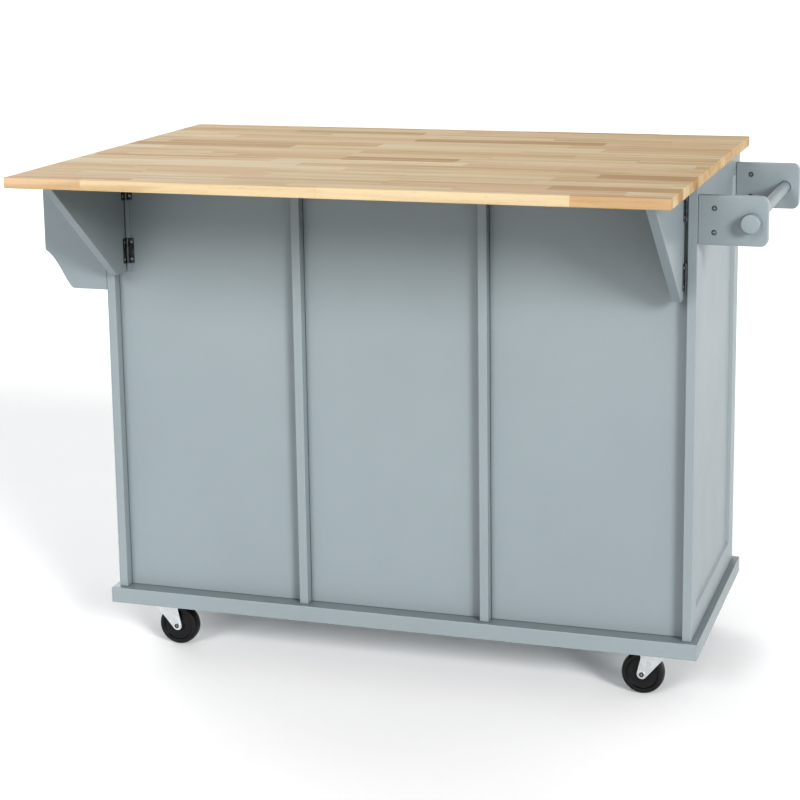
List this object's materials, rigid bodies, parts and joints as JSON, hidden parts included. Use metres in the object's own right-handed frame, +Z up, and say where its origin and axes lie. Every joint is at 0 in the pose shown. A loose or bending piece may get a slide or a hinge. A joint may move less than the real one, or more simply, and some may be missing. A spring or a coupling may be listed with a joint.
{
  "type": "kitchen island cart",
  "caption": "Kitchen island cart with a butcher-block top, hinged drop leaf on swing-out brackets, doors, drawers, spice rack, towel rod and swivel casters.",
  "frame": {"origin": "on the floor, under the middle of the outermost box (spice rack to towel rack, knobs to leaf edge)", "axes": "+Z up; +X along the length towards the spice rack; +Y towards the drop leaf; the doors and drawers face -Y"},
  "size_m": [1.305, 0.818, 0.935],
  "materials": {
    "painted_board": "blue-grey satin paint on fibreboard",
    "butcher_block": "clear satin oil on finger-jointed rubberwood",
    "white_board": "white melamine-faced board",
    "zinc": "bright zinc plate",
    "dark_steel": "black satin",
    "knob_metal": "brushed nickel",
    "black_wheel": "moulded satin"
  },
  "bodies": {
    "cabinet": {"base_board": "painted_board", "side_panel_left": "painted_board", "side_panel_right": "painted_board", "partition_left": "painted_board", "partition_right": "painted_board", "back_panel_left": "painted_board", "back_panel_middle": "painted_board", "back_panel_right": "painted_board", "shelf_left": "white_board", "shelf_right": "white_board", "main_top": "butcher_block", "leaf_hinge_left_fixed": "zinc", "leaf_hinge_right_fixed": "zinc", "bracket_hinge_left_lower_fixed": "dark_steel", "bracket_hinge_left_upper_fixed": "dark_steel", "bracket_hinge_right_lower_fixed": "dark_steel", "bracket_hinge_right_upper_fixed": "dark_steel", "towel_plate_rear": "painted_board", "towel_plate_front": "painted_board", "spice_end_rear": "painted_board", "spice_end_front": "painted_board", "spice_shelf": "painted_board", "spice_rail": "painted_board", "caster_plate_rear_left": "zinc", "caster_plate_rear_right": "zinc", "caster_plate_front_left": "zinc", "caster_plate_front_right": "zinc"},
    "leaf": {"drop_leaf": "butcher_block", "leaf_hinge_left_moving": "zinc", "leaf_hinge_right_moving": "zinc"},
    "left_bracket": {"bracket_left": "painted_board", "bracket_hinge_left_lower_moving": "dark_steel", "bracket_hinge_left_upper_moving": "dark_steel"},
    "right_bracket": {"bracket_right": "painted_board", "bracket_hinge_right_lower_moving": "dark_steel", "bracket_hinge_right_upper_moving": "dark_steel"},
    "left_door": {"door_left": "painted_board", "door_knob_left": "knob_metal"},
    "right_door": {"door_right": "painted_board", "door_knob_right": "knob_metal"},
    "top_drawer": {"drawer_front_top": "painted_board", "drawer_box_top": "white_board", "drawer_knob_top": "knob_metal"},
    "middle_drawer": {"drawer_front_middle": "painted_board", "drawer_box_middle": "white_board", "drawer_knob_middle": "knob_metal"},
    "bottom_drawer": {"drawer_front_bottom": "painted_board", "drawer_box_bottom": "white_board", "drawer_knob_bottom": "knob_metal"},
    "rod": {"towel_rod": "painted_board"},
    "fork_rear_left": {"caster_fork_rear_left": "zinc"},
    "wheel_rear_left": {"caster_wheel_rear_left": "black_wheel"},
    "fork_rear_right": {"caster_fork_rear_right": "zinc"},
    "wheel_rear_right": {"caster_wheel_rear_right": "black_wheel"},
    "fork_front_left": {"caster_fork_front_left": "zinc"},
    "wheel_front_left": {"caster_wheel_front_left": "black_wheel"},
    "fork_front_right": {"caster_fork_front_right": "zinc"},
    "wheel_front_right": {"caster_wheel_front_right": "black_wheel"},
    "pedal_front_left": {"brake_pedal_front_left": "dark_steel"},
    "pedal_front_right": {"brake_pedal_front_right": "dark_steel"}
  },
  "joints": [
    {"name": "leaf_lift", "type": "hinge", "parent": "cabinet", "child": "leaf", "pos_m": [-0.0035, 0.084, 0.9137], "axis": [1, 0, 0], "range_deg": [0, 5]},
    {"name": "left_bracket_swing", "type": "hinge", "parent": "cabinet", "child": "left_bracket", "pos_m": [-0.5198, 0.08, 0.8145], "axis": [0, 0, -1], "range_deg": [0, 90]},
    {"name": "right_bracket_swing", "type": "hinge", "parent": "cabinet", "child": "right_bracket", "pos_m": [0.4958, 0.0627, 0.8145], "axis": [0, 0, 1], "range_deg": [0, 90]},
    {"name": "left_door_swing", "type": "hinge", "parent": "cabinet", "child": "left_door", "pos_m": [-0.5215, -0.385, 0.52], "axis": [0, 0, -1], "range_deg": [0, 105]},
    {"name": "right_door_swing", "type": "hinge", "parent": "cabinet", "child": "right_door", "pos_m": [0.5145, -0.385, 0.52], "axis": [0, 0, 1], "range_deg": [0, 105]},
    {"name": "top_drawer_slide", "type": "slide", "parent": "cabinet", "child": "top_drawer", "axis": [0, -1, 0], "range_m": [0, 0.33]},
    {"name": "middle_drawer_slide", "type": "slide", "parent": "cabinet", "child": "middle_drawer", "axis": [0, -1, 0], "range_m": [0, 0.33]},
    {"name": "bottom_drawer_slide", "type": "slide", "parent": "cabinet", "child": "bottom_drawer", "axis": [0, -1, 0], "range_m": [0, 0.33]},
    {"name": "rod_slide", "type": "slide", "parent": "cabinet", "child": "rod", "axis": [0, 1, 0], "range_m": [0, 0.41]},
    {"name": "swivel_rear_left", "type": "hinge", "parent": "cabinet", "child": "fork_rear_left", "pos_m": [-0.4655, 0.019, 0.085], "axis": [0, 0, 1], "continuous": true},
    {"name": "roll_rear_left", "type": "hinge", "parent": "fork_rear_left", "child": "wheel_rear_left", "pos_m": [-0.4455, 0.019, 0.038], "axis": [0, 1, 0], "continuous": true},
    {"name": "swivel_rear_right", "type": "hinge", "parent": "cabinet", "child": "fork_rear_right", "pos_m": [0.4585, 0.019, 0.085], "axis": [0, 0, 1], "continuous": true},
    {"name": "roll_rear_right", "type": "hinge", "parent": "fork_rear_right", "child": "wheel_rear_right", "pos_m": [0.4385, 0.019, 0.038], "axis": [0, 1, 0], "continuous": true},
    {"name": "swivel_front_left", "type": "hinge", "parent": "cabinet", "child": "fork_front_left", "pos_m": [-0.4655, -0.323, 0.085], "axis": [0, 0, 1], "continuous": true},
    {"name": "roll_front_left", "type": "hinge", "parent": "fork_front_left", "child": "wheel_front_left", "pos_m": [-0.4655, -0.343, 0.038], "axis": [1, 0, 0], "continuous": true},
    {"name": "swivel_front_right", "type": "hinge", "parent": "cabinet", "child": "fork_front_right", "pos_m": [0.4585, -0.323, 0.085], "axis": [0, 0, 1], "continuous": true},
    {"name": "roll_front_right", "type": "hinge", "parent": "fork_front_right", "child": "wheel_front_right", "pos_m": [0.4585, -0.343, 0.038], "axis": [1, 0, 0], "continuous": true},
    {"name": "brake_front_left", "type": "hinge", "parent": "fork_front_left", "child": "pedal_front_left", "pos_m": [-0.4655, -0.361, 0.076], "axis": [1, 0, 0], "range_deg": [0, 18]},
    {"name": "brake_front_right", "type": "hinge", "parent": "fork_front_right", "child": "pedal_front_right", "pos_m": [0.4585, -0.361, 0.076], "axis": [1, 0, 0], "range_deg": [0, 18]}
  ]
}
